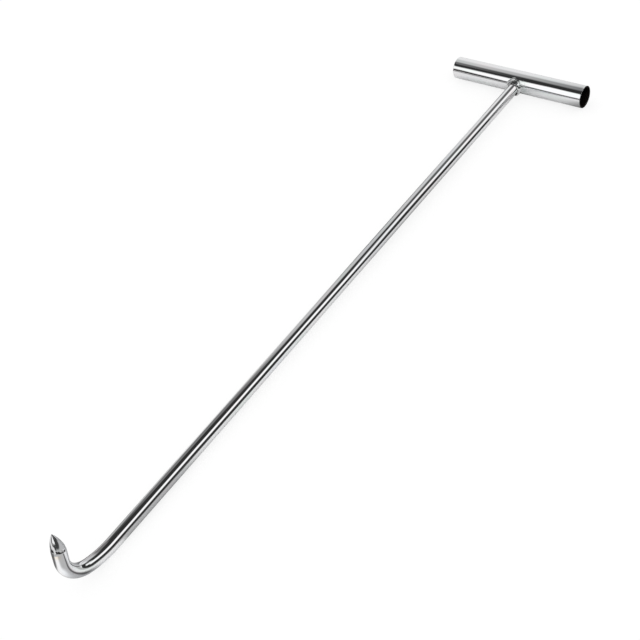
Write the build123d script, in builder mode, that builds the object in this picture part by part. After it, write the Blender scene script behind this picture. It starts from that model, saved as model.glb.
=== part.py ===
from build123d import *
from math import asin, atan2, cos, hypot, radians, sin, sqrt, tan
import os

# Manhole cover lifter: a tube handle, a long round bar with a bent and pointed hook, and the weld
# between them. Millimetres, +Z up. It lies as on a floor, with its hook's point up. The origin is
# the middle of the handle, +X runs along the handle and the bar runs towards -Y.

# Handle tube
handle_diameter = 23.2
handle_wall = 1.6
handle_length = 153.0
handle_deburr = 0.3

# Bar and its two bends, along and about the bar's centre line
bar_diameter = 12.0
shaft_length = 645.0
easing_radius = 72.0
easing_angle = 21.0
crook_radius = 24.2
crook_angle = 83.0
nose_length = 12.5

# Ground point: how far its axis leans outwards from the nose's, and its flank turns in at the root
point_length = 19.0
point_lean = 5.5
point_turn_in = 7.5
point_tip_radius = 0.6

# Weld bead: its leg on the tube and on the bar, how deep each ripple's centre lies in the metal,
# the ripples in one turn, and how much their legs vary
weld_leg = 3.6
weld_sink = 2.0
weld_ripples = 24
weld_unevenness = 0.3

# The two lumps where the weld was stopped, under the bar: the angle round the bar, the distance of
# the centre from the handle's surface, and the radius
weld_stop_angles = (-44.0, -30.0)
weld_stop_distances = (3.0, 5.6)
weld_stop_radii = (3.0, 2.0)
weld_stop_sink = 0.8

handle_radius = handle_diameter / 2
bore_radius = handle_radius - handle_wall
bar_radius = bar_diameter / 2

# The bar leans down by the angle at which the handle and the start of the bend both touch the floor
bar_lean = atan2(easing_radius, shaft_length) + asin(
    (handle_radius - bar_radius - easing_radius) / hypot(shaft_length, easing_radius)
)
hook_plane = Plane(
    origin=(0, 0, 0),
    x_dir=(0, -cos(bar_lean), -sin(bar_lean)),
    z_dir=(-1, 0, 0),
)


def round_the_bar(angle, radius, out):
    """A point at an angle and radius round the bar's axis, and a distance out from the handle's axis."""
    across = radius * cos(radians(angle))
    up = radius * sin(radians(angle))
    return hook_plane.from_local_coords((out, up, -across))


def seam_point(angle, sink):
    """A point of the seam between bar and handle, at an angle round the bar, sunk into both."""
    radius = bar_radius - sink
    out = sqrt((handle_radius - sink) ** 2 - (radius * sin(radians(angle))) ** 2)
    return round_the_bar(angle, radius, out)


# Handle tube, with its cut ends deburred inside and out
with BuildPart() as handle_tube:
    with BuildSketch(Plane.YZ):
        Circle(handle_radius)
        Circle(bore_radius, mode=Mode.SUBTRACT)
    extrude(amount=handle_length / 2, both=True)
    chamfer(handle_tube.edges().filter_by(GeomType.CIRCLE), length=handle_deburr)
handle_tube.part.label = "handle_tube"

# The tube's outside as a solid round, to which the bar and the weld are coped
with BuildPart() as handle_envelope:
    with BuildSketch(Plane.YZ):
        Circle(handle_radius)
    extrude(amount=handle_length / 2, both=True)

# The bar's centre line: shaft, a wide easing bend, the tight crook, the nose and the point's blank
with BuildLine(hook_plane) as bar_line:
    shaft = Line((0, 0), (shaft_length, 0))
    easing = JernArc(shaft @ 1, shaft % 1, easing_radius, easing_angle)
    crook = JernArc(easing @ 1, easing % 1, crook_radius, crook_angle)
    nose = Line(crook @ 1, crook @ 1 + (crook % 1) * nose_length)
    blank = Line(nose @ 1, nose @ 1 + (nose % 1) * point_length)

# What the grinding takes off: a sleeve whose inside is a pointed arch turned about the point's axis.
# Below the crease the arch flares straight on, so that it crosses the nose all round.
point_direction = (nose % 1).rotate(Axis((0, 0, 0), hook_plane.z_dir), -point_lean)
point_plane = Plane(
    origin=nose @ 1,
    x_dir=point_direction.cross(hook_plane.z_dir),
    z_dir=hook_plane.z_dir,
)
point_axis = Axis(nose @ 1, point_direction)
foot_flare = bar_radius * tan(radians(point_turn_in))
with BuildPart() as point_sleeve:
    with BuildSketch(point_plane):
        with Locations((0, point_length / 2)):
            Rectangle(6 * bar_radius, point_length + 2 * bar_radius)
        split(bisect_by=Plane.YZ)
    revolve(axis=point_axis)
    with BuildSketch(point_plane) as point_arch:
        with BuildLine():
            foot = Line((0, -bar_radius), (bar_radius + foot_flare, -bar_radius))
            skirt = Line(foot @ 1, (bar_radius, 0))
            TangentArc(skirt @ 1, (0, point_length), tangent=skirt % 1)
            mirror(about=Plane.YZ)
        make_face()
        fillet(point_arch.vertices().sort_by(Axis.Y)[-1], point_tip_radius)
        split(bisect_by=Plane.YZ)
    revolve(axis=point_axis, mode=Mode.SUBTRACT)

# Hook bar, coped to the handle at its upper end and ground to the point at its lower end
with BuildPart() as hook_bar:
    with BuildSketch(Plane(origin=shaft @ 0, z_dir=shaft % 0)):
        Circle(bar_radius)
    sweep(path=bar_line.wires()[0])
    add(handle_envelope.part, mode=Mode.SUBTRACT)
    add(point_sleeve.part, mode=Mode.SUBTRACT)
hook_bar.part.label = "hook_bar"

# Weld bead: ripples laid one after another along the saddle-shaped seam, and the stop's two lumps
with BuildPart() as weld_bead:
    for ripple in range(weld_ripples):
        angle = 360 * ripple / weld_ripples
        leg = weld_leg + weld_unevenness * sin(radians(3 * angle)) * cos(radians(5 * angle))
        with Locations(seam_point(angle, weld_sink)):
            Sphere(hypot(leg + weld_sink, weld_sink))
    for angle, distance, radius in zip(weld_stop_angles, weld_stop_distances, weld_stop_radii):
        with Locations(round_the_bar(angle, bar_radius - weld_stop_sink, handle_radius + distance)):
            Sphere(radius)
    add(handle_envelope.part, mode=Mode.SUBTRACT)
    add(hook_bar.part, mode=Mode.SUBTRACT)
weld_bead.part.label = "weld_bead"

os.makedirs("parts", exist_ok=True)
export_step(handle_tube.part, "parts/handle_tube.step")
export_step(hook_bar.part, "parts/hook_bar.step")
export_step(weld_bead.part, "parts/weld_bead.step")
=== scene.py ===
from math import asin, atan2, cos, degrees, exp, hypot, pi, radians, sin, sqrt, tan
import bpy
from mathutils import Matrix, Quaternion, Vector, noise


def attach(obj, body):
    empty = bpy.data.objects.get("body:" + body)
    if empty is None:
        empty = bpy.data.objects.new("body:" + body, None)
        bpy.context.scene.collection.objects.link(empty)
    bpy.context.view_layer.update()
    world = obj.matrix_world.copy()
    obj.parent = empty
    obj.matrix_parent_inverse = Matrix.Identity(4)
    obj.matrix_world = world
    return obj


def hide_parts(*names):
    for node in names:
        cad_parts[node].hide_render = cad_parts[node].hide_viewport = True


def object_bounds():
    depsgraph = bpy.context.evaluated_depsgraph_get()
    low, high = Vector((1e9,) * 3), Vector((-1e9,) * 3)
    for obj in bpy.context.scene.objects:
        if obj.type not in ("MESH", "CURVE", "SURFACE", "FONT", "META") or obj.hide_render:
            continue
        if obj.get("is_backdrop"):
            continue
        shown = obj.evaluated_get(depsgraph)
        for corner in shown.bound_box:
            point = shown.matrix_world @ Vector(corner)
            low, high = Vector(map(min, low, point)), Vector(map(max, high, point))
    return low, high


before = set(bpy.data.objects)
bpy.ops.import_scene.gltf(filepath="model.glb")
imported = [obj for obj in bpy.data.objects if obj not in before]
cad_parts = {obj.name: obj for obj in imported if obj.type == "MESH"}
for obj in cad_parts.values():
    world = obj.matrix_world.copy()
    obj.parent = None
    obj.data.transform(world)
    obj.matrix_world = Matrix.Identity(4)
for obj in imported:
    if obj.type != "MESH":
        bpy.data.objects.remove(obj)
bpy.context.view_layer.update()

# The manhole cover lifter, dressed: a zinc-plated tube handle, a hook bar and the weld between them.
# Everything is in metres. The origin is the middle of the handle, +X runs along the handle, and the
# bar runs towards -Y with its hook's point up.
MM = 0.001

# Handle tube
HANDLE_RADIUS = 11.6 * MM
HANDLE_WALL = 1.6 * MM
HANDLE_LENGTH = 153.0 * MM
OUTER_EDGE = 0.35 * MM
INNER_EDGE = 0.25 * MM
BURR = 0.08 * MM
BURR_WIDTH = 0.8 * MM

# Bar and its two bends
BAR_RADIUS = 6.0 * MM
SHAFT_LENGTH = 645.0 * MM
EASING_RADIUS = 72.0 * MM
EASING_ANGLE = 21.0
CROOK_RADIUS = 24.2 * MM
CROOK_ANGLE = 83.0
NOSE_LENGTH = 12.5 * MM

# Ground point, which leans outwards, with the notch that the grinding wheel left at its root. On the
# inside of the hook the notch lies in the crease, and it rises towards the outside. Its lowest place
# is turned about the nose.
POINT_LENGTH = 19.0 * MM
POINT_LEAN = 5.5
POINT_TURN_IN = 7.5
POINT_TIP_RADIUS = 0.6 * MM
NOTCH_DEPTH = 0.35 * MM
NOTCH_WIDTH = 0.8 * MM
NOTCH_RISE = 2.2 * MM
NOTCH_TURN = 15.0

# Painted shade in the notch, standing in for the dark reflections at its crease: the angle round the nose,
# how far it spreads and how black it is
NOTCH_PAINTED_SHADE_WIDTH = 1.1 * MM
NOTCH_PAINTED_SHADE = ((-92, 17, 1.0), (-45, 8, 1.0), (-29, 9, 0.8), (20, 6, 0.9), (0, 25, 0.15))

# Weld bead: its leg and how much that varies, and the lean stretch beside the stop
WELD_LEG = 3.6 * MM
WELD_UNEVENNESS = 0.3 * MM
LEAN_MIDDLE = -15.0
LEAN_SPREAD = 35.0
LEAN_DEPTH = 0.9 * MM
WELD_SINK = 2.0 * MM
WELD_CROWN = 0.7 * MM
WELD_APRON = 0.5 * MM
WELD_RIPPLES = 30
RIPPLE_HEIGHT = 0.1 * MM
GRIT_HEIGHT = 0.06 * MM
GRIT_PATCH = 1.6 * MM

# Where the weld was stopped, under the bar: how far the bead runs along the bar there, the painted
# shade of a gap beside it, and its two lumps
STOP_MIDDLE = -37.0
STOP_SPREAD = 17.0
STOP_RUN = 4.4 * MM
GAP_SHADE_MIDDLE = -34.0
GAP_SHADE_SPREAD = 12.0
GAP_SHADE_DEPTH = 0.35
STOP_ANGLES = (-44.0, -30.0)
STOP_DISTANCES = (3.0 * MM, 5.6 * MM)
STOP_RADII = (3.0 * MM, 2.0 * MM)
STOP_SINK = 0.8 * MM

# Mesh fineness: sides of the tube, the bar and the weld, and steps along the bar and the weld
TUBE_SIDES = 192
BAR_SIDES = 96
WELD_SIDES = 288
SHAFT_STEPS = 128
EASING_STEPS = 24
CROOK_STEPS = 60
NOSE_STEPS = 8
ROOT_STEPS = 30
FLANK_STEPS = 30
TIP_STEPS = 8
WELD_STEPS = 44

# Share of the point's arch that the root's closer steps take, and how far up the point its rings
# still follow the slant of the crease
ROOT_SHARE = 0.3
SLANT_REACH = 6.0 * MM

# Camera, fitted to the photograph: its own size in pixels, focal length in pixels, place, aim and roll
PHOTO_PX = 640
FOCAL_PX = 1081.0
CAMERA_AT = Vector((0.5285, -0.8273, 0.6925))
CAMERA_AIM = Vector((0.0027, -0.3701, -0.0116))
CAMERA_ROLL = -16.77

BAR_LEAN = atan2(EASING_RADIUS, SHAFT_LENGTH) + asin(
    (HANDLE_RADIUS - BAR_RADIUS - EASING_RADIUS) / hypot(SHAFT_LENGTH, EASING_RADIUS)
)
ALONG_BAR = Vector((0, -cos(BAR_LEAN), -sin(BAR_LEAN)))
ABOVE_BAR = Vector((0, -sin(BAR_LEAN), cos(BAR_LEAN)))
ACROSS_BAR = Vector((1, 0, 0))


def camera():
    data = bpy.data.cameras.new("camera")
    data.sensor_width = 36.0
    data.lens = FOCAL_PX / PHOTO_PX * data.sensor_width
    obj = bpy.data.objects.new("camera", data)
    bpy.context.scene.collection.objects.link(obj)
    look = (CAMERA_AIM - CAMERA_AT).to_track_quat("-Z", "Y")
    obj.rotation_mode = "QUATERNION"
    obj.rotation_quaternion = look @ Quaternion((0, 0, 1), radians(CAMERA_ROLL))
    obj.location = CAMERA_AT
    bpy.context.scene.camera = obj


# Meshes


def skin(name, rings, grain, marks=None, wrap=False):
    """A mesh through rings of points. grain is each point's place as if the piece were straight."""
    sides = len(rings[0])
    points = [point for ring in rings for point in ring]
    faces = []
    spans = len(rings) if wrap else len(rings) - 1
    for row in range(spans):
        here = row * sides
        there = (row + 1) % len(rings) * sides
        for side in range(sides):
            after = (side + 1) % sides
            faces.append((here + side, here + after, there + after, there + side))
    if not wrap:
        for ring, start in ((rings[0], 0), (rings[-1], (len(rings) - 1) * sides)):
            centre = len(points)
            points.append(sum(ring, Vector()) / sides)
            grain = grain + [sum(grain[start : start + sides], Vector()) / sides]
            for side in range(sides):
                edge = (start + side, start + (side + 1) % sides)
                faces.append((*(edge if start else edge[::-1]), centre))
    mesh = bpy.data.meshes.new(name)
    mesh.from_pydata(points, [], faces)
    layer = mesh.attributes.new("grain", "FLOAT_VECTOR", "POINT")
    layer.data.foreach_set("vector", [c for point in grain for c in point])
    for label, values in (marks or {}).items():
        values = values + [values[-1]] * (len(points) - len(values))
        layer = mesh.attributes.new(label, "FLOAT", "POINT")
        layer.data.foreach_set("value", values)
    mesh.shade_smooth()
    obj = bpy.data.objects.new(name, mesh)
    bpy.context.scene.collection.objects.link(obj)
    return obj


def dress(obj, node, material):
    obj.data.materials.append(material)
    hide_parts(node)
    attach(obj, "root")


def circle(sides):
    return [2 * pi * side / sides for side in range(sides)]


def turned(angle, middle):
    """How far an angle in radians is from a middle in degrees, between minus and plus a half turn."""
    return (angle - radians(middle) + pi) % (2 * pi) - pi


def bell(off):
    return exp(-(off**2))


def quarter(steps):
    return [pi / 2 * step / steps for step in range(steps + 1)]


def tube_profile():
    """Half of the tube's section as (place along, radius, bore share), from its middle out and back."""
    end = HANDLE_LENGTH / 2
    bore = HANDLE_RADIUS - HANDLE_WALL
    shares = (0, 0.06, 0.13, 0.25, 0.4, 0.6, 0.8, 0.9)
    outside = [(end * share, HANDLE_RADIUS, 0.0) for share in shares]
    before = (3.0, 2.0, 1.4, 1.0, 0.7)
    outside += [(end - BURR_WIDTH * share, HANDLE_RADIUS, 0.0) for share in before]
    outer = [
        (end - OUTER_EDGE * (1 - sin(a)), HANDLE_RADIUS - OUTER_EDGE * (1 - cos(a)), a / (pi / 2))
        for a in quarter(6)
    ]
    inner = [
        (end - INNER_EDGE * (1 - cos(a)), bore + INNER_EDGE * (1 - sin(a)), 1.0)
        for a in quarter(4)
    ]
    inside = [(end * share, bore, 1.0) for share in (0.9, 0.6, 0.3, 0)]
    return outside + outer + inner + inside


def handle_tube():
    half = tube_profile()
    mirrored = [(-along, radius, bore) for along, radius, bore in half[::-1]]
    rings, grain, bores = [], [], []
    for along, radius, bore in half[:-1] + mirrored[:-1]:
        ring = []
        from_end = HANDLE_LENGTH / 2 - abs(along)
        lip = bell(from_end / BURR_WIDTH) * (radius - HANDLE_RADIUS + HANDLE_WALL) / HANDLE_WALL
        for a in circle(TUBE_SIDES):
            rough = noise.noise(Vector((cos(a) * 3, sin(a) * 3, 5.0 if along > 0 else 9.0)))
            far = radius + BURR * lip * (0.5 + rough)
            ring.append(Vector((along, cos(a) * far, sin(a) * far)))
        rings.append(ring)
        grain += ring
        bores += [bore] * TUBE_SIDES
    return skin("handle_tube_plated", rings, grain, {"bore": bores}, wrap=True)


def bar_line():
    """The bar's centre line as (point, heading, distance along), from the handle's axis to the nose's end."""
    bends = (
        (EASING_RADIUS, EASING_ANGLE, EASING_STEPS),
        (CROOK_RADIUS, CROOK_ANGLE, CROOK_STEPS),
    )
    line = []
    for step in range(SHAFT_STEPS):
        along = SHAFT_LENGTH * step / SHAFT_STEPS
        line.append((Vector((along, 0)), 0.0, along))
    here = Vector((SHAFT_LENGTH, 0))
    heading = 0.0
    gone = SHAFT_LENGTH
    for radius, angle, steps in bends:
        middle = here + radius * Vector((-sin(heading), cos(heading)))
        for step in range(steps):
            turn = heading + radians(angle) * step / steps
            place = middle + radius * Vector((sin(turn), -cos(turn)))
            line.append((place, turn, gone + radius * (turn - heading)))
        gone += radius * radians(angle)
        heading += radians(angle)
        here = middle + radius * Vector((sin(heading), -cos(heading)))
    ahead = Vector((cos(heading), sin(heading)))
    for step in range(NOSE_STEPS + 1):
        along = NOSE_LENGTH * step / NOSE_STEPS
        line.append((here + ahead * along, heading, gone + along))
    return line


def point_profile():
    """The ground point as (distance along its axis, radius): pointed arch, then rounded tip."""
    turn = radians(POINT_TURN_IN)
    # The arch is a round through the root and the tip that leaves the root turned in by the angle
    root = Vector((BAR_RADIUS, 0))
    tip = Vector((0, POINT_LENGTH))
    chord = tip - root
    inward = Vector((-cos(turn), -sin(turn)))
    radius = chord.length_squared / (2 * chord.dot(inward))
    middle = root + inward * radius
    # The rounded tip: a small ball that touches the arch from inside
    ball = middle.y + sqrt((radius - POINT_TIP_RADIUS) ** 2 - middle.x**2)
    touch = atan2(ball - middle.y, -middle.x)
    arch_end = middle.y + radius * sin(touch)
    shares = [ROOT_SHARE * step / ROOT_STEPS for step in range(ROOT_STEPS)]
    shares += [ROOT_SHARE + (1 - ROOT_SHARE) * step / FLANK_STEPS for step in range(FLANK_STEPS)]
    heights = [arch_end * share for share in shares]
    arch = [(y, middle.x + sqrt(radius**2 - (y - middle.y) ** 2)) for y in heights]
    turns = [touch + (pi / 2 - touch) * step / TIP_STEPS for step in range(TIP_STEPS)]
    return arch + [(ball + POINT_TIP_RADIUS * sin(a), POINT_TIP_RADIUS * cos(a)) for a in turns]


def crease(angle):
    """Where the ground flank meets the nose at an angle round it: how far past the nose's end."""
    lean = radians(POINT_LEAN)
    low = -3 * MM
    high = 3 * MM
    for _ in range(40):
        past = (low + high) / 2
        along = past * cos(lean) - BAR_RADIUS * sin(angle) * sin(lean)
        out = hypot(BAR_RADIUS * cos(angle), past * sin(lean) + BAR_RADIUS * sin(angle) * cos(lean))
        if out > BAR_RADIUS - along * tan(radians(POINT_TURN_IN)):
            high = past
        else:
            low = past
    return low


def notch(off):
    """How deep the notch is at a distance along from its middle."""
    return NOTCH_DEPTH * bell(off / NOTCH_WIDTH)


def notch_past(angle):
    """How far past the crease the notch lies at an angle round the nose."""
    return NOTCH_RISE * (1 - sin(angle + radians(NOTCH_TURN)))


def notch_painted_shade(angle, off):
    """How dark the notch's painted shade is at an angle round the nose and a distance along from its middle.
    """
    black = 0.0
    for middle, spread, strength in NOTCH_PAINTED_SHADE:
        black = max(black, strength * bell(turned(angle, middle) / radians(spread)))
    return black * bell(off / NOTCH_PAINTED_SHADE_WIDTH)


def hook_bar():
    rings, grain, points, notch_painted_shades = [], [], [], []
    angles = circle(BAR_SIDES)

    def outward(heading):
        return -sin(heading) * ALONG_BAR + cos(heading) * ABOVE_BAR

    def add_ring(centre, heading, gone, pasts=None, radii=None, off=1.0):
        """One ring of the bar. off is its distance from the crease, in metres."""
        ahead = cos(heading) * ALONG_BAR + sin(heading) * ABOVE_BAR
        middle = centre.x * ALONG_BAR + centre.y * ABOVE_BAR
        ring = []
        for index, a in enumerate(angles):
            past = pasts[index] if pasts else 0.0
            far = radii[index] if radii else BAR_RADIUS
            side = cos(a) * ACROSS_BAR + sin(a) * outward(heading)
            ring.append(middle + past * ahead + far * side)
            grain.append(Vector((gone + past, BAR_RADIUS * cos(a), BAR_RADIUS * sin(a))))
        rings.append(ring)
        points.extend([0.0] * BAR_SIDES)
        notch_painted_shades.extend(notch_painted_shade(a, off + notch_past(a)) for a in angles)

    line = bar_line()
    # Coped end: the first ring lies on the tube
    coped = []
    for a in angles:
        out = sqrt(HANDLE_RADIUS**2 - (BAR_RADIUS * sin(a)) ** 2)
        coped.append(out * ALONG_BAR + BAR_RADIUS * (cos(a) * ACROSS_BAR + sin(a) * ABOVE_BAR))
    rings.append(coped)
    grain.extend(Vector((p.dot(ALONG_BAR), p.dot(ACROSS_BAR), p.dot(ABOVE_BAR))) for p in coped)
    points.extend([0.0] * BAR_SIDES)
    notch_painted_shades.extend([0.0] * BAR_SIDES)
    for centre, heading, gone in line[:-3]:
        if gone > HANDLE_RADIUS + MM:
            add_ring(centre, heading, gone)
    # From the nose to the crease, where the notch begins
    nose_end, heading, gone = line[-1]
    creases = [crease(a) for a in angles]
    for before in (2.4, 2.0, 1.6, 1.3, 1.0, 0.7, 0.5, 0.3, 0.15):
        off = before * NOTCH_WIDTH
        pasts = [past - off for past in creases]
        radii = [BAR_RADIUS - notch(off + notch_past(a)) for a in angles]
        add_ring(nose_end, heading, gone, pasts, radii, off)
    # The point, round its own leaning axis
    lean = radians(POINT_LEAN)
    ahead = cos(heading) * ALONG_BAR + sin(heading) * ABOVE_BAR
    axis = cos(lean) * ahead - sin(lean) * outward(heading)
    inner = sin(lean) * ahead + cos(lean) * outward(heading)
    middle = nose_end.x * ALONG_BAR + nose_end.y * ABOVE_BAR
    for along, radius in point_profile():
        ring = []
        keep = max(0.0, 1 - along / SLANT_REACH)
        for past, a in zip(creases, angles):
            start = past * cos(lean) - BAR_RADIUS * sin(a) * sin(lean)
            here = along + start * keep
            turn = atan2(past * sin(lean) + BAR_RADIUS * sin(a) * cos(lean), BAR_RADIUS * cos(a))
            flare = start * keep * tan(radians(POINT_TURN_IN))
            far = radius - flare - notch(along - notch_past(a))
            ring.append(middle + here * axis + far * (cos(turn) * ACROSS_BAR + sin(turn) * inner))
            grain.append(Vector((gone + here, radius * cos(turn), radius * sin(turn))))
        rings.append(ring)
        points.extend([1.0] * BAR_SIDES)
        notch_painted_shades.extend(notch_painted_shade(a, along - notch_past(a)) for a in angles)
    # The notch's painted shade goes onto the mesh as a mark
    return skin("hook_bar_plated", rings, grain, {"ground": points, "painted_shade": notch_painted_shades})


def weld_leg(angle):
    """The bead's leg at an angle round the bar. It is leaner beside the stop."""
    uneven = WELD_UNEVENNESS * sin(3 * angle) * cos(5 * angle)
    return WELD_LEG + uneven - LEAN_DEPTH * bell(turned(angle, LEAN_MIDDLE) / radians(LEAN_SPREAD))


def stop_lump(angle, out):
    """How far the stop's lumps stand from the bar's axis at an angle and a distance out, or 0."""
    tall = 0.0
    for stop, distance, radius in zip(STOP_ANGLES, STOP_DISTANCES, STOP_RADII):
        off = (turned(angle, stop) * BAR_RADIUS) ** 2 + (out - HANDLE_RADIUS - distance) ** 2
        if off < radius**2:
            tall = max(tall, BAR_RADIUS - STOP_SINK + sqrt(radius**2 - off))
    return tall


def weld_bead():
    """The bead as rings round the bar: over its face from toe to top, then back under it by the seam."""
    under = 4
    rings = [[] for _ in range(WELD_STEPS + 1 + under)]
    crevice_shade = [[] for _ in rings]
    for a in circle(WELD_SIDES):
        leg = weld_leg(a)
        side = cos(a) * ACROSS_BAR + sin(a) * ABOVE_BAR

        def on_tube(radius):
            return radius * side + sqrt(HANDLE_RADIUS**2 - (radius * sin(a)) ** 2) * ALONG_BAR

        seam = on_tube(BAR_RADIUS)
        toe = on_tube(BAR_RADIUS + leg)
        sunk = sqrt((HANDLE_RADIUS - WELD_SINK) ** 2 - ((BAR_RADIUS - WELD_SINK) * sin(a)) ** 2)
        top_out = sunk + leg + WELD_SINK
        off_stop = turned(a, STOP_MIDDLE) / radians(STOP_SPREAD)
        off_gap_shade = turned(a, GAP_SHADE_MIDDLE) / radians(GAP_SHADE_SPREAD)
        run_out = top_out + STOP_RUN * bell(off_stop**2)
        top = BAR_RADIUS * side + top_out * ALONG_BAR
        run = BAR_RADIUS * side + run_out * ALONG_BAR
        chord = top - toe
        outward = (side - chord * side.dot(chord) / chord.length_squared).normalized()
        knee = (toe + top) / 2 + outward * 2 * WELD_CROWN
        for row in range(WELD_STEPS + 1):
            t = row / WELD_STEPS
            p = (1 - t) ** 2 * toe + 2 * t * (1 - t) * knee + t**2 * run
            phase = a / (2 * pi) * WELD_RIPPLES + 0.9 * (2 * t - 1) ** 2
            ripple = abs(sin(pi * phase)) ** 0.7 - 0.6
            grit = noise.fractal(p / GRIT_PATCH, 0.9, 2.0, 3)
            fade = min(1.0, 6 * t, 6 * (1 - t))
            apron = WELD_APRON * bell((t - 0.2) / 0.13)
            p = p + outward * fade * (RIPPLE_HEIGHT * ripple + GRIT_HEIGHT * grit - apron)
            out = p.dot(ALONG_BAR)
            radius = p.dot(side)
            lump = stop_lump(a, out)
            if lump > radius:
                p = p + side * (lump - radius)
            rings[row].append(p)
            # Painted shade: in the gap beside the stop, along the bead's edge on the bar and in the ripples'
            # troughs
            deep = bell(off_gap_shade) * bell(t / GAP_SHADE_DEPTH)
            crevice_shade[row].append(max(deep, exp(-((1 - t) / 0.05)), 0.3 * max(0.0, -ripple)))
        back = ((run * 2 + seam) / 3, (run + seam * 2) / 3, seam, on_tube(BAR_RADIUS + leg / 2))
        for row, p in enumerate(back, WELD_STEPS + 1):
            rings[row].append(p)
            # Painted shade under the bead, by the seam
            crevice_shade[row].append(1.0)
    grain = [p for ring in rings for p in ring]
    marks = {"crevice_shade": [c for ring in crevice_shade for c in ring]}
    return skin("weld_bead_plated", rings, grain, marks, wrap=True)


# Materials


def put(tree, kind, inputs=None, **settings):
    """A shader node with its settings, and its inputs as values or as links."""
    made = tree.nodes.new("ShaderNode" + kind)
    for key, value in settings.items():
        setattr(made, key, value)
    for key, value in (inputs or {}).items():
        if isinstance(value, bpy.types.NodeSocket):
            tree.links.new(value, made.inputs[key])
        else:
            made.inputs[key].default_value = value
    return made


def calc(tree, operation, *values):
    return put(tree, "Math", dict(enumerate(values)), operation=operation).outputs[0]


def blend(tree, share, first, second):
    made = put(tree, "Mix", {0: share, 6: first, 7: second}, data_type="RGBA")
    return made.outputs[2]


def ramp(tree, value, low, high, to_low=0.0, to_high=1.0):
    inputs = {"Value": value, "From Min": low, "From Max": high, "To Min": to_low, "To Max": to_high}
    return put(tree, "MapRange", inputs, interpolation_type="SMOOTHSTEP").outputs[0]


def cloud(tree, place, scale, detail=3.0, roughness=0.5):
    """Noise at scales given in patches per metre, along and across the piece."""
    scaled = put(tree, "VectorMath", {0: place, 1: scale}, operation="MULTIPLY").outputs[0]
    inputs = {"Vector": scaled, "Scale": 1.0, "Detail": detail, "Roughness": roughness}
    return put(tree, "TexNoise", inputs).outputs[0]


def bump(tree, strength, depth, height, normal=None):
    """A bump of a depth in metres, laid over another normal where one is given."""
    inputs = {"Strength": strength, "Distance": depth, "Height": height}
    if normal:
        inputs["Normal"] = normal
    return put(tree, "Bump", inputs).outputs[0]


def mark(tree, name):
    return put(tree, "Attribute", attribute_name=name).outputs["Fac"]


# Colours of the plating, of its bands and dull skin, of heated metal, and of bare steel and painted shade
ZINC = (0.90, 0.90, 0.91, 1)
ZINC_PINK = (0.93, 0.87, 0.88, 1)
ZINC_GREEN = (0.84, 0.90, 0.87, 1)
ZINC_BLUE = (0.87, 0.91, 0.96, 1)
ZINC_DULL = (0.66, 0.72, 0.70, 1)
WARM = (0.93, 0.80, 0.62, 1)
BARE_AND_SHADE_DARK = (0.04, 0.037, 0.036, 1)
BARE_AND_SHADE_BROWN = (0.09, 0.07, 0.06, 1)

# Depths of the bumps: drawing lines, waviness, pits by the weld, the wheel's marks, the weld's grain
LINE_DEPTH = 0.01 * MM
WAVE_DEPTH = 0.6 * MM
PIT_DEPTH = 0.12 * MM
WHEEL_DEPTH = 0.02 * MM
GRAIN_DEPTH = 0.06 * MM

# The skin that the weld's heat dulled: where its middle lies off the joint, where it starts to fade
# and where it ends
HEAT_OFF = Vector((4 * MM, 0, -3 * MM))
HEAT_NEAR = 8 * MM
HEAT_FAR = 18 * MM

# The warm tint below the point: where it starts and ends before the crease
WARM_START = 7 * MM
WARM_END = 0.5 * MM


def plating(name):
    """Bright zinc: faint pink, green and blue bands, lines along the metal, smudges, soft waviness."""
    mat = bpy.data.materials.new(name)
    mat.use_nodes = True
    tree = mat.node_tree
    shader = tree.nodes["Principled BSDF"]
    shader.inputs["Metallic"].default_value = 1.0
    place = put(tree, "Attribute", attribute_name="grain").outputs["Vector"]
    pink = ramp(tree, cloud(tree, place, (18, 150, 150)), 0.5, 0.7, 0.0, 0.6)
    green = ramp(tree, cloud(tree, place, (26, 210, 210), 2.0), 0.52, 0.7, 0.0, 0.6)
    blue = ramp(tree, cloud(tree, place, (12, 90, 90), 2.0), 0.48, 0.66, 0.0, 0.4)
    colour = blend(tree, blue, ZINC, ZINC_BLUE)
    colour = blend(tree, pink, colour, ZINC_PINK)
    colour = blend(tree, green, colour, ZINC_GREEN)
    smudge = cloud(tree, place, (60, 130, 130), 5.0, 0.6)
    lines = cloud(tree, place, (30, 4200, 4200), 2.0)
    waves = cloud(tree, place, (22, 60, 60), 1.0)
    smudged = ramp(tree, smudge, 0.4, 0.75, 0.02, 0.08)
    rough = calc(tree, "ADD", smudged, ramp(tree, lines, 0.3, 0.8, 0.0, 0.03))
    drawn = bump(tree, 0.25, LINE_DEPTH, lines)
    wavy = bump(tree, 0.35, WAVE_DEPTH, waves, drawn)
    return mat, tree, shader, place, colour, rough, wavy


def finish_with(tree, shader, colour, rough, normal):
    tree.links.new(colour, shader.inputs["Base Color"])
    tree.links.new(rough, shader.inputs["Roughness"])
    tree.links.new(normal, shader.inputs["Normal"])


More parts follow.
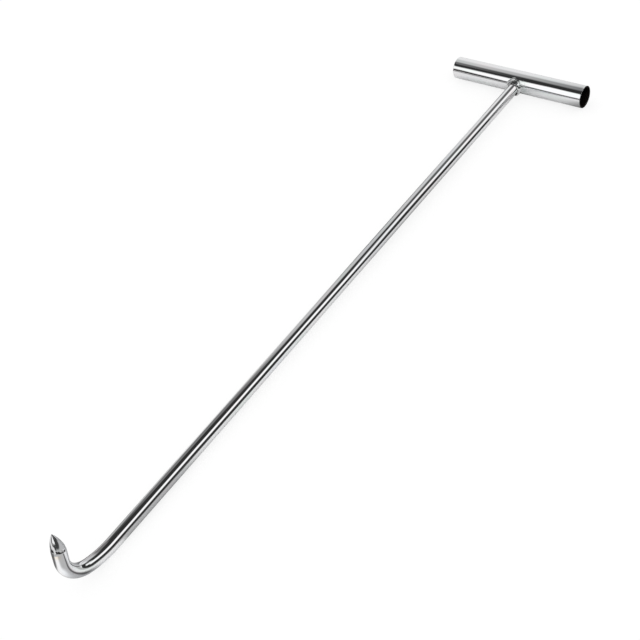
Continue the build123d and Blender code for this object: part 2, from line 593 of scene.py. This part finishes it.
def handle_finish():
    mat, tree, shader, place, colour, rough, normal = plating("handle_zinc")
    # Bore and cut ends painted near black: partly bare steel that the plating hardly reached, partly painted
    # shade
    bore = mark(tree, "bore")
    bare_and_shade = blend(tree, cloud(tree, place, (300, 300, 300), 5.0), BARE_AND_SHADE_DARK, BARE_AND_SHADE_BROWN)
    colour = blend(tree, bore, colour, bare_and_shade)
    rough = calc(tree, "MAXIMUM", rough, calc(tree, "MULTIPLY", bore, 0.45))
    # Dull, slightly pitted skin that the weld's heat left round the joint
    joint = tuple(HANDLE_RADIUS * ALONG_BAR + HEAT_OFF)
    far = put(tree, "VectorMath", {0: place, 1: joint}, operation="DISTANCE").outputs["Value"]
    patchy = cloud(tree, place, (420, 420, 420), 4.0, 0.6)
    heated = ramp(tree, far, HEAT_FAR, HEAT_NEAR)
    heat = calc(tree, "MULTIPLY", heated, ramp(tree, patchy, 0.35, 0.6))
    colour = blend(tree, calc(tree, "MULTIPLY", heat, 0.7), colour, ZINC_DULL)
    rough = calc(tree, "ADD", rough, calc(tree, "MULTIPLY", heat, 0.16))
    pits = cloud(tree, place, (1100, 1100, 1100), 3.0)
    finish_with(tree, shader, colour, rough, bump(tree, heat, PIT_DEPTH, pits, normal))
    return mat


def bar_finish():
    mat, tree, shader, place, colour, rough, normal = plating("bar_zinc")
    # A warm tint on the outside of the nose, just under the ground point
    ground = mark(tree, "ground")
    along, _, inner = put(tree, "SeparateXYZ", {0: place}).outputs
    bends = EASING_RADIUS * radians(EASING_ANGLE) + CROOK_RADIUS * radians(CROOK_ANGLE)
    point_start = SHAFT_LENGTH + bends + NOSE_LENGTH
    warmth = ramp(tree, along, point_start - WARM_START, point_start - WARM_END)
    patches = ramp(tree, cloud(tree, place, (90, 160, 160)), 0.3, 0.6, 0.6, 1.0)
    warmth = calc(tree, "MULTIPLY", warmth, patches)
    warmth = calc(tree, "MULTIPLY", warmth, ramp(tree, inner, -0.2 * BAR_RADIUS, -0.8 * BAR_RADIUS))
    warmth = calc(tree, "MULTIPLY", warmth, calc(tree, "SUBTRACT", 1.0, ground))
    colour = blend(tree, calc(tree, "MULTIPLY", warmth, 0.7), colour, WARM)
    # Painted shade in the notch, and the wheel's marks across the point
    painted_shade = ramp(tree, mark(tree, "painted_shade"), 0.05, 0.5)
    colour = blend(tree, painted_shade, colour, BARE_AND_SHADE_DARK)
    wheel = cloud(tree, place, (3500, 260, 260), 2.0)
    strength = calc(tree, "MULTIPLY", ground, 0.25)
    marked = bump(tree, strength, WHEEL_DEPTH, wheel, normal)
    rough = calc(tree, "ADD", rough, calc(tree, "MULTIPLY", ground, 0.04))
    rough = calc(tree, "ADD", rough, calc(tree, "MULTIPLY", painted_shade, 0.25))
    finish_with(tree, shader, colour, rough, marked)
    return mat


def weld_finish():
    mat, tree, shader, place, colour, rough, normal = plating("weld_zinc")
    # Painted shade in the bead's crevices, under it and beside the stop, broken into patches
    crevice_shade = mark(tree, "crevice_shade")
    patchy = cloud(tree, place, (500, 500, 500), 4.0, 0.6)
    uneven = calc(tree, "MULTIPLY", crevice_shade, ramp(tree, patchy, 0.2, 0.6, 0.6, 1.0))
    painted_shade = ramp(tree, uneven, 0.1, 0.6)
    colour = blend(tree, ramp(tree, patchy, 0.4, 0.7, 0.0, 0.25), colour, ZINC_DULL)
    colour = blend(tree, painted_shade, colour, BARE_AND_SHADE_BROWN)
    rough = calc(tree, "ADD", rough, ramp(tree, patchy, 0.3, 0.7, 0.0, 0.1))
    grit = cloud(tree, place, (1500, 1500, 1500), 3.0)
    finish_with(tree, shader, colour, rough, bump(tree, 0.5, GRAIN_DEPTH, grit, normal))
    return mat


# Studio


# The tent round the object, which only its reflections show: a dark room with walls, soft boxes and
# low lights, placed where tube and bar mirror light in the photograph. Each card is given by the
# place of its middle and its half-widths in degrees from the zenith, towards +X and +Y, then its
# turn, the softness of its edge and its tone. A later card covers an earlier one.
TENT_RADIUS = 1.2
TENT_MIDDLE = Vector((0, -0.35, 0))
TENT_ROWS = 24
TENT_SIDES = 48
TENT_TONE = 0.03
CARDS = {
    "back_left_wall": ((-60, 50), (40, 30), 0, 20, 0.6),
    "left_wall": ((-85, -5), (25, 55), 0, 20, 0.5),
    "back_light": ((-30, 70), (15, 20), 0, 20, 0.85),
    "right_box": ((39, 5), (14, 35), 0, 10, 1.1),
    "right_box_end": ((27, 50), (15, 15), 0, 10, 1.0),
    "left_ceiling": ((-55, 10), (25, 10), 0, 10, 0.2),
    "back_ceiling": ((0, 50), (15, 10), 0, 10, 0.12),
    "front_box": ((-30, -45), (20, 20), 30, 10, 1.1),
    "low_front_light": ((30, -80), (30, 15), 0, 10, 1.0),
    "low_right_light": ((100, 0), (10, 40), 0, 10, 0.9),
}

# The floor: how far it reaches, and its colour and glow as the camera sees it. In the object's
# reflections it is dark, with painted light and painted shade laid on it, given like the tent's cards but in
# metres.
FLOOR_REACH = 4.0
FLOOR_COLOUR = 0.22
FLOOR_GLOW = 0.8
FLOOR_TONE = 0.05
FLOOR_PAINTED_PATCHES = {
    "painted_light_patch": ((-0.25, -0.2), (0.32, 0.8), 0, 0.05, 0.85),
    "shade_before_handle": ((-0.1, -0.2), (0.1, 0.1), 0, 0.1, 0.1),
    "painted_light_under_hook": ((0.05, -0.7), (0.12, 0.15), 0, 0.05, 0.5),
    "light_before_nose": ((0.0, -0.74), (0.03, 0.04), 0, 0.03, 1.0),
    "shade_beside_nose": ((-0.07, -0.7), (0.04, 0.1), 0, 0.03, 0.15),
    "shade_in_throat": ((0.05, -0.675), (0.04, 0.005), 0, 0.01, 0.1),
    "light_in_throat": ((0.03, -0.65), (0.04, 0.015), 0, 0.01, 0.9),
}


def card_share(tree, u, v, middle, half, turn, soft):
    """How much of a card is at a place: 1 on it, 0 off it, and between them over its soft edge."""
    c = cos(radians(turn))
    s = sin(radians(turn))
    u = calc(tree, "SUBTRACT", u, float(middle[0]))
    v = calc(tree, "SUBTRACT", v, float(middle[1]))
    across = calc(tree, "ADD", calc(tree, "MULTIPLY", u, c), calc(tree, "MULTIPLY", v, s))
    up = calc(tree, "SUBTRACT", calc(tree, "MULTIPLY", v, c), calc(tree, "MULTIPLY", u, s))
    shares = []
    for value, reach in ((across, half[0]), (up, half[1])):
        shares.append(ramp(tree, calc(tree, "ABSOLUTE", value), reach + soft / 2, reach - soft / 2))
    return calc(tree, "MULTIPLY", *shares)


def laid(tree, u, v, tone, cards):
    """The tone at a place after every card is laid over it in turn."""
    for middle, half, turn, soft, shade in cards.values():
        share = card_share(tree, u, v, middle, half, turn, soft)
        inverse = calc(tree, "SUBTRACT", 1.0, share)
        tone = calc(tree, "ADD", calc(tree, "MULTIPLY", inverse, tone), calc(tree, "MULTIPLY", share, shade))
    return tone


def tent():
    arms = []
    for row in range(TENT_ROWS):
        up = pi / 2 - pi * (row + 0.5) / TENT_ROWS
        level = TENT_RADIUS * cos(up)
        height = TENT_RADIUS * sin(up)
        arms.append([Vector((level * cos(a), level * sin(a), height)) for a in circle(TENT_SIDES)])
    rings = [[TENT_MIDDLE + arm for arm in ring] for ring in arms]
    obj = skin("tent", rings, [arm for ring in arms for arm in ring])
    obj.visible_camera = False
    obj.visible_diffuse = False
    obj.visible_transmission = False
    obj.visible_shadow = False
    obj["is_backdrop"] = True

    mat = bpy.data.materials.new("tent")
    mat.use_nodes = True
    mat.cycles.emission_sampling = "NONE"
    tree = mat.node_tree
    tree.nodes.remove(tree.nodes["Principled BSDF"])
    place = put(tree, "NewGeometry").outputs["Position"]
    arm = put(tree, "VectorMath", {0: place, 1: tuple(TENT_MIDDLE)}, operation="SUBTRACT").outputs[0]
    arm = put(tree, "VectorMath", {0: arm}, operation="NORMALIZE").outputs[0]
    x, y, z = put(tree, "SeparateXYZ", {0: arm}).outputs
    # Degrees from the zenith, shared out over +X and +Y
    down = calc(tree, "MULTIPLY", calc(tree, "ARCCOSINE", z), degrees(1))
    squares = calc(tree, "ADD", calc(tree, "MULTIPLY", x, x), calc(tree, "MULTIPLY", y, y))
    level = calc(tree, "MAXIMUM", calc(tree, "SQRT", squares), 0.0001)
    per = calc(tree, "DIVIDE", down, level)
    u = calc(tree, "MULTIPLY", x, per)
    v = calc(tree, "MULTIPLY", y, per)
    tone = laid(tree, u, v, TENT_TONE, CARDS)
    glow = put(tree, "Emission", {"Strength": tone}).outputs[0]
    tree.links.new(glow, tree.nodes["Material Output"].inputs["Surface"])
    obj.data.materials.append(mat)


def floor():
    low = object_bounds()[0][2]
    mesh = bpy.data.meshes.new("floor")
    corners = [(-1, -1), (1, -1), (1, 1), (-1, 1)]
    mesh.from_pydata([(x * FLOOR_REACH, y * FLOOR_REACH, low) for x, y in corners], [], [(0, 1, 2, 3)])
    obj = bpy.data.objects.new("floor", mesh)
    bpy.context.scene.collection.objects.link(obj)
    obj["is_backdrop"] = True

    mat = bpy.data.materials.new("floor")
    mat.use_nodes = True
    tree = mat.node_tree
    tree.nodes.remove(tree.nodes["Principled BSDF"])
    place = put(tree, "NewGeometry").outputs["Position"]
    x, y, z = put(tree, "SeparateXYZ", {0: place}).outputs
    # Painted light and painted shade on the floor, which only the object's reflections show
    tone = laid(tree, x, y, FLOOR_TONE, FLOOR_PAINTED_PATCHES)
    seen = put(tree, "LightPath").outputs["Is Camera Ray"]
    mirrored = calc(tree, "MULTIPLY", calc(tree, "SUBTRACT", 1.0, seen), tone)
    shade = calc(tree, "ADD", calc(tree, "MULTIPLY", seen, FLOOR_COLOUR), mirrored)
    matt = put(tree, "BsdfDiffuse", {"Color": shade}).outputs[0]
    glow = put(tree, "Emission", {"Strength": calc(tree, "MULTIPLY", seen, FLOOR_GLOW)}).outputs[0]
    both = put(tree, "AddShader", {0: matt, 1: glow}).outputs[0]
    tree.links.new(both, tree.nodes["Material Output"].inputs["Surface"])
    mesh.materials.append(mat)


def light():
    world = bpy.data.worlds.new("studio")
    world.use_nodes = True
    sky = world.node_tree.nodes["Background"]
    sky.inputs["Color"].default_value = (1, 1, 1, 1)
    sky.inputs["Strength"].default_value = 1.0
    bpy.context.scene.world = world


camera()
dress(handle_tube(), "handle_tube", handle_finish())
dress(hook_bar(), "hook_bar", bar_finish())
dress(weld_bead(), "weld_bead", weld_finish())
floor()
tent()
light()
bpy.context.scene.view_settings.view_transform = "Standard"
